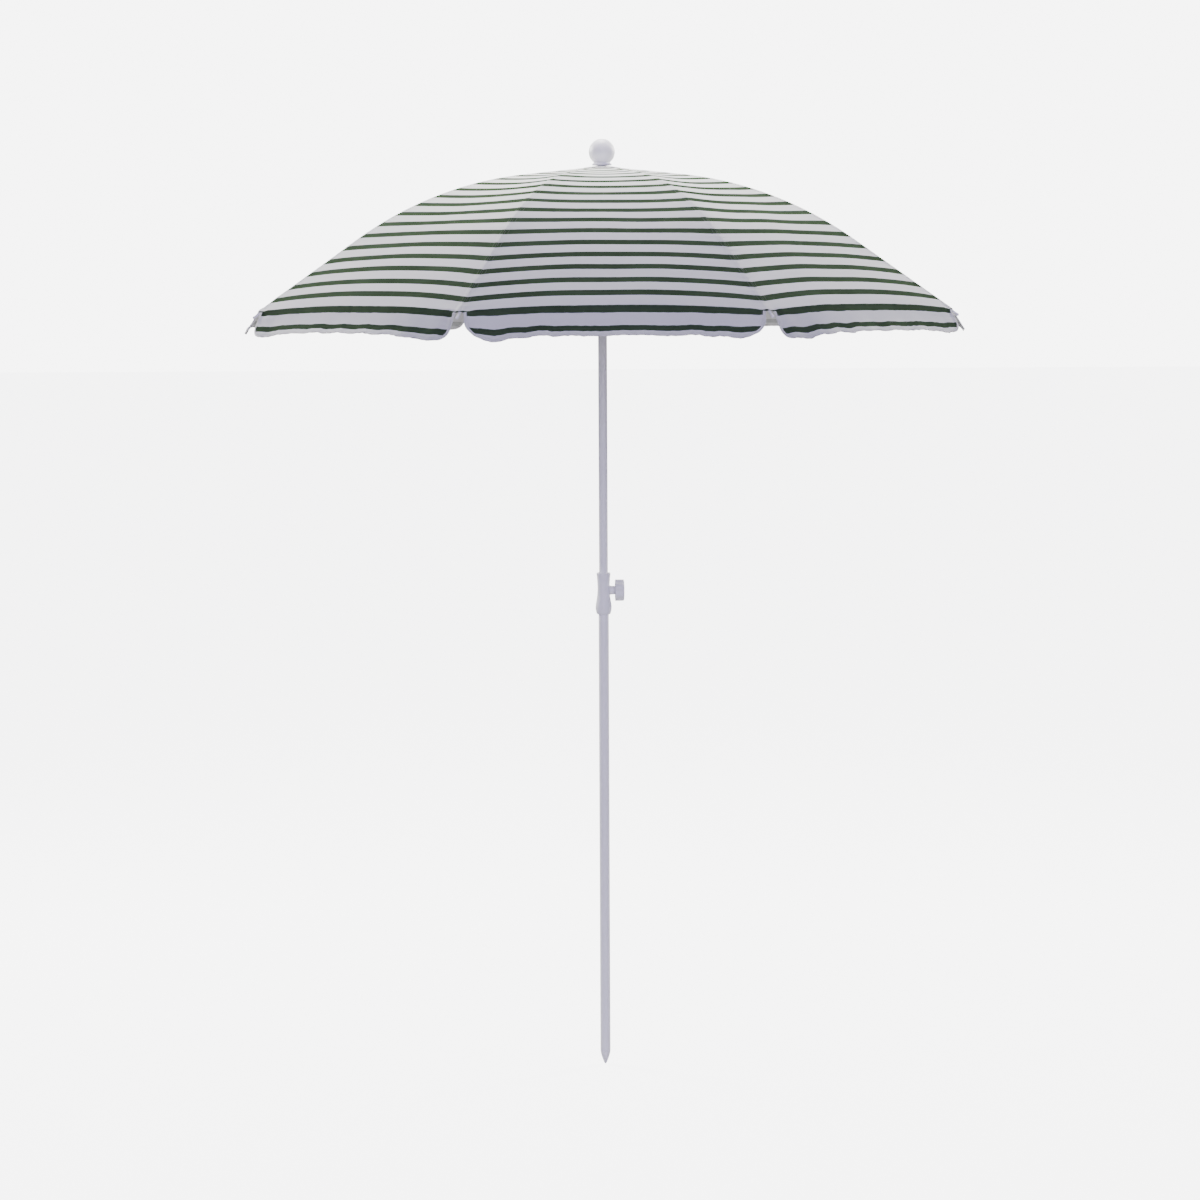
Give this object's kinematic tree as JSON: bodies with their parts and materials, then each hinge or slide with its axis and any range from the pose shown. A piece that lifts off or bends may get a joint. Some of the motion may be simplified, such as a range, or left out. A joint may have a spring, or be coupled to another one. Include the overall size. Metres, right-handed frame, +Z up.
{
  "type": "beach umbrella",
  "caption": "Folding beach umbrella with a striped cloth canopy, scalloped valance, ball finial, two-part height-adjustable pole with clamp knob, and a pointed ground spike.",
  "frame": {"origin": "tip of the ground spike, on the pole's axis", "axes": "+Z up along the pole, the clamp knob on +X, gore 1 facing -Y"},
  "size_m": [1.5038, 1.5038, 2],
  "materials": {
    "pole_paint": "gloss white enamel on steel tube",
    "frame_paint": "white enamel on steel wire",
    "moulding": "smooth moulded white plastic",
    "steel": "bright zinc plated",
    "brass": "turned brass",
    "canopy_cloth": "plain woven canvas, white with narrow dark green stripes"
  },
  "bodies": {
    "lower_pole": {"lower_tube": "pole_paint", "ground_spike": "pole_paint", "clamp_collar": "moulding", "clamp_nut": "steel"},
    "pad": {"clamp_pad": "brass"},
    "knob": {"clamp_knob": "moulding", "clamp_screw": "steel"},
    "upper_pole": {"upper_tube": "pole_paint", "finial": "moulding", "crown_hub": "moulding", "crown_ring": "steel", "hub_rivet": "steel", "runner_stop": "steel", "top_patch": "canopy_cloth"},
    "catch": {"runner_catch": "steel"},
    "runner": {"runner": "moulding", "runner_ring": "steel"},
    "rib_1": {"rib_1": "frame_paint", "clip_1": "steel", "tip_1": "moulding"},
    "stretcher_1": {"stretcher_1": "frame_paint"},
    "gore_1": {"gore_1": "canopy_cloth"},
    "rib_2": {"rib_2": "frame_paint", "clip_2": "steel", "tip_2": "moulding"},
    "stretcher_2": {"stretcher_2": "frame_paint"},
    "gore_2": {"gore_2": "canopy_cloth"},
    "rib_3": {"rib_3": "frame_paint", "clip_3": "steel", "tip_3": "moulding"},
    "stretcher_3": {"stretcher_3": "frame_paint"},
    "gore_3": {"gore_3": "canopy_cloth"},
    "rib_4": {"rib_4": "frame_paint", "clip_4": "steel", "tip_4": "moulding"},
    "stretcher_4": {"stretcher_4": "frame_paint"},
    "gore_4": {"gore_4": "canopy_cloth"},
    "rib_5": {"rib_5": "frame_paint", "clip_5": "steel", "tip_5": "moulding"},
    "stretcher_5": {"stretcher_5": "frame_paint"},
    "gore_5": {"gore_5": "canopy_cloth"},
    "rib_6": {"rib_6": "frame_paint", "clip_6": "steel", "tip_6": "moulding"},
    "stretcher_6": {"stretcher_6": "frame_paint"},
    "gore_6": {"gore_6": "canopy_cloth"},
    "rib_7": {"rib_7": "frame_paint", "clip_7": "steel", "tip_7": "moulding"},
    "stretcher_7": {"stretcher_7": "frame_paint"},
    "gore_7": {"gore_7": "canopy_cloth"},
    "rib_8": {"rib_8": "frame_paint", "clip_8": "steel", "tip_8": "moulding"},
    "stretcher_8": {"stretcher_8": "frame_paint"},
    "gore_8": {"gore_8": "canopy_cloth"}
  },
  "joints": [
    {"name": "pole_height", "type": "slide", "parent": "lower_pole", "child": "upper_pole", "axis": [0, 0, 1], "range_m": [0, 0.12]},
    {"name": "pad_travel", "type": "slide", "parent": "lower_pole", "child": "pad", "axis": [1, 0, 0], "range_m": [0, 0.00125]},
    {"name": "knob_turn", "type": "hinge", "parent": "pad", "child": "knob", "pos_m": [0.034, 0, 1.043], "axis": [1, 0, 0], "range_deg": [0, 360]},
    {"name": "catch_press", "type": "slide", "parent": "upper_pole", "child": "catch", "axis": [1, 0, 0], "range_m": [0, 0.0032], "stiffness_N_per_m": 900, "springref_m": -0.0008},
    {"name": "runner_slide", "type": "slide", "parent": "upper_pole", "child": "runner", "axis": [0, 0, -1], "range_m": [0, 0.4833]},
    {"name": "rib_fold_1", "type": "hinge", "parent": "upper_pole", "child": "rib_1", "pos_m": [0.00765, -0.01848, 1.935], "axis": [0.9239, 0.3827, 0], "range_deg": [0, 67]},
    {"name": "stretcher_fold_1", "type": "hinge", "parent": "rib_1", "child": "stretcher_1", "pos_m": [0.1427, -0.3445, 1.86214], "axis": [-0.9239, -0.3827, 0], "range_deg": [0, 118.17]},
    {"name": "gore_fold_1", "type": "hinge", "parent": "upper_pole", "child": "gore_1", "pos_m": [0, -0.02, 1.935], "axis": [1, 0, 0], "range_deg": [0, 63.5], "deforming": ["gore_1"]},
    {"name": "rib_fold_2", "type": "hinge", "parent": "upper_pole", "child": "rib_2", "pos_m": [0.01848, -0.00765, 1.935], "axis": [0.3827, 0.9239, 0], "range_deg": [0, 67]},
    {"name": "stretcher_fold_2", "type": "hinge", "parent": "rib_2", "child": "stretcher_2", "pos_m": [0.3445, -0.1427, 1.86214], "axis": [-0.3827, -0.9239, 0], "range_deg": [0, 118.17]},
    {"name": "gore_fold_2", "type": "hinge", "parent": "upper_pole", "child": "gore_2", "pos_m": [0.01414, -0.01414, 1.935], "axis": [0.7071, 0.7071, 0], "range_deg": [0, 63.5], "deforming": ["gore_2"]},
    {"name": "rib_fold_3", "type": "hinge", "parent": "upper_pole", "child": "rib_3", "pos_m": [0.01848, 0.00765, 1.935], "axis": [-0.3827, 0.9239, 0], "range_deg": [0, 67]},
    {"name": "stretcher_fold_3", "type": "hinge", "parent": "rib_3", "child": "stretcher_3", "pos_m": [0.3445, 0.1427, 1.86214], "axis": [0.3827, -0.9239, 0], "range_deg": [0, 118.17]},
    {"name": "gore_fold_3", "type": "hinge", "parent": "upper_pole", "child": "gore_3", "pos_m": [0.02, 0, 1.935], "axis": [0, 1, 0], "range_deg": [0, 63.5], "deforming": ["gore_3"]},
    {"name": "rib_fold_4", "type": "hinge", "parent": "upper_pole", "child": "rib_4", "pos_m": [0.00765, 0.01848, 1.935], "axis": [-0.9239, 0.3827, 0], "range_deg": [0, 67]},
    {"name": "stretcher_fold_4", "type": "hinge", "parent": "rib_4", "child": "stretcher_4", "pos_m": [0.1427, 0.3445, 1.86214], "axis": [0.9239, -0.3827, 0], "range_deg": [0, 118.17]},
    {"name": "gore_fold_4", "type": "hinge", "parent": "upper_pole", "child": "gore_4", "pos_m": [0.01414, 0.01414, 1.935], "axis": [-0.7071, 0.7071, 0], "range_deg": [0, 63.5], "deforming": ["gore_4"]},
    {"name": "rib_fold_5", "type": "hinge", "parent": "upper_pole", "child": "rib_5", "pos_m": [-0.00765, 0.01848, 1.935], "axis": [-0.9239, -0.3827, 0], "range_deg": [0, 67]},
    {"name": "stretcher_fold_5", "type": "hinge", "parent": "rib_5", "child": "stretcher_5", "pos_m": [-0.1427, 0.3445, 1.86214], "axis": [0.9239, 0.3827, 0], "range_deg": [0, 118.17]},
    {"name": "gore_fold_5", "type": "hinge", "parent": "upper_pole", "child": "gore_5", "pos_m": [0, 0.02, 1.935], "axis": [-1, 0, 0], "range_deg": [0, 63.5], "deforming": ["gore_5"]},
    {"name": "rib_fold_6", "type": "hinge", "parent": "upper_pole", "child": "rib_6", "pos_m": [-0.01848, 0.00765, 1.935], "axis": [-0.3827, -0.9239, 0], "range_deg": [0, 67]},
    {"name": "stretcher_fold_6", "type": "hinge", "parent": "rib_6", "child": "stretcher_6", "pos_m": [-0.3445, 0.1427, 1.86214], "axis": [0.3827, 0.9239, 0], "range_deg": [0, 118.17]},
    {"name": "gore_fold_6", "type": "hinge", "parent": "upper_pole", "child": "gore_6", "pos_m": [-0.01414, 0.01414, 1.935], "axis": [-0.7071, -0.7071, 0], "range_deg": [0, 63.5], "deforming": ["gore_6"]},
    {"name": "rib_fold_7", "type": "hinge", "parent": "upper_pole", "child": "rib_7", "pos_m": [-0.01848, -0.00765, 1.935], "axis": [0.3827, -0.9239, 0], "range_deg": [0, 67]},
    {"name": "stretcher_fold_7", "type": "hinge", "parent": "rib_7", "child": "stretcher_7", "pos_m": [-0.3445, -0.1427, 1.86214], "axis": [-0.3827, 0.9239, 0], "range_deg": [0, 118.17]},
    {"name": "gore_fold_7", "type": "hinge", "parent": "upper_pole", "child": "gore_7", "pos_m": [-0.02, 0, 1.935], "axis": [0, -1, 0], "range_deg": [0, 63.5], "deforming": ["gore_7"]},
    {"name": "rib_fold_8", "type": "hinge", "parent": "upper_pole", "child": "rib_8", "pos_m": [-0.00765, -0.01848, 1.935], "axis": [0.9239, -0.3827, 0], "range_deg": [0, 67]},
    {"name": "stretcher_fold_8", "type": "hinge", "parent": "rib_8", "child": "stretcher_8", "pos_m": [-0.1427, -0.3445, 1.86214], "axis": [-0.9239, 0.3827, 0], "range_deg": [0, 118.17]},
    {"name": "gore_fold_8", "type": "hinge", "parent": "upper_pole", "child": "gore_8", "pos_m": [-0.01414, -0.01414, 1.935], "axis": [0.7071, -0.7071, 0], "range_deg": [0, 63.5], "deforming": ["gore_8"]}
  ],
  "couplings": [
    {"joint": "knob_turn", "follows": "pad_travel", "rad_per_m": 5026.5},
    {"joint": "rib_fold_1", "follows": "runner_slide", "rad_per_m": 2.4195},
    {"joint": "stretcher_fold_1", "follows": "runner_slide", "rad_per_m": 4.2674},
    {"joint": "gore_fold_1", "follows": "runner_slide", "rad_per_m": 2.2932},
    {"joint": "rib_fold_2", "follows": "runner_slide", "rad_per_m": 2.4195},
    {"joint": "stretcher_fold_2", "follows": "runner_slide", "rad_per_m": 4.2674},
    {"joint": "gore_fold_2", "follows": "runner_slide", "rad_per_m": 2.2932},
    {"joint": "rib_fold_3", "follows": "runner_slide", "rad_per_m": 2.4195},
    {"joint": "stretcher_fold_3", "follows": "runner_slide", "rad_per_m": 4.2674},
    {"joint": "gore_fold_3", "follows": "runner_slide", "rad_per_m": 2.2932},
    {"joint": "rib_fold_4", "follows": "runner_slide", "rad_per_m": 2.4195},
    {"joint": "stretcher_fold_4", "follows": "runner_slide", "rad_per_m": 4.2674},
    {"joint": "gore_fold_4", "follows": "runner_slide", "rad_per_m": 2.2932},
    {"joint": "rib_fold_5", "follows": "runner_slide", "rad_per_m": 2.4195},
    {"joint": "stretcher_fold_5", "follows": "runner_slide", "rad_per_m": 4.2674},
    {"joint": "gore_fold_5", "follows": "runner_slide", "rad_per_m": 2.2932},
    {"joint": "rib_fold_6", "follows": "runner_slide", "rad_per_m": 2.4195},
    {"joint": "stretcher_fold_6", "follows": "runner_slide", "rad_per_m": 4.2674},
    {"joint": "gore_fold_6", "follows": "runner_slide", "rad_per_m": 2.2932},
    {"joint": "rib_fold_7", "follows": "runner_slide", "rad_per_m": 2.4195},
    {"joint": "stretcher_fold_7", "follows": "runner_slide", "rad_per_m": 4.2674},
    {"joint": "gore_fold_7", "follows": "runner_slide", "rad_per_m": 2.2932},
    {"joint": "rib_fold_8", "follows": "runner_slide", "rad_per_m": 2.4195},
    {"joint": "stretcher_fold_8", "follows": "runner_slide", "rad_per_m": 4.2674},
    {"joint": "gore_fold_8", "follows": "runner_slide", "rad_per_m": 2.2932}
  ]
}
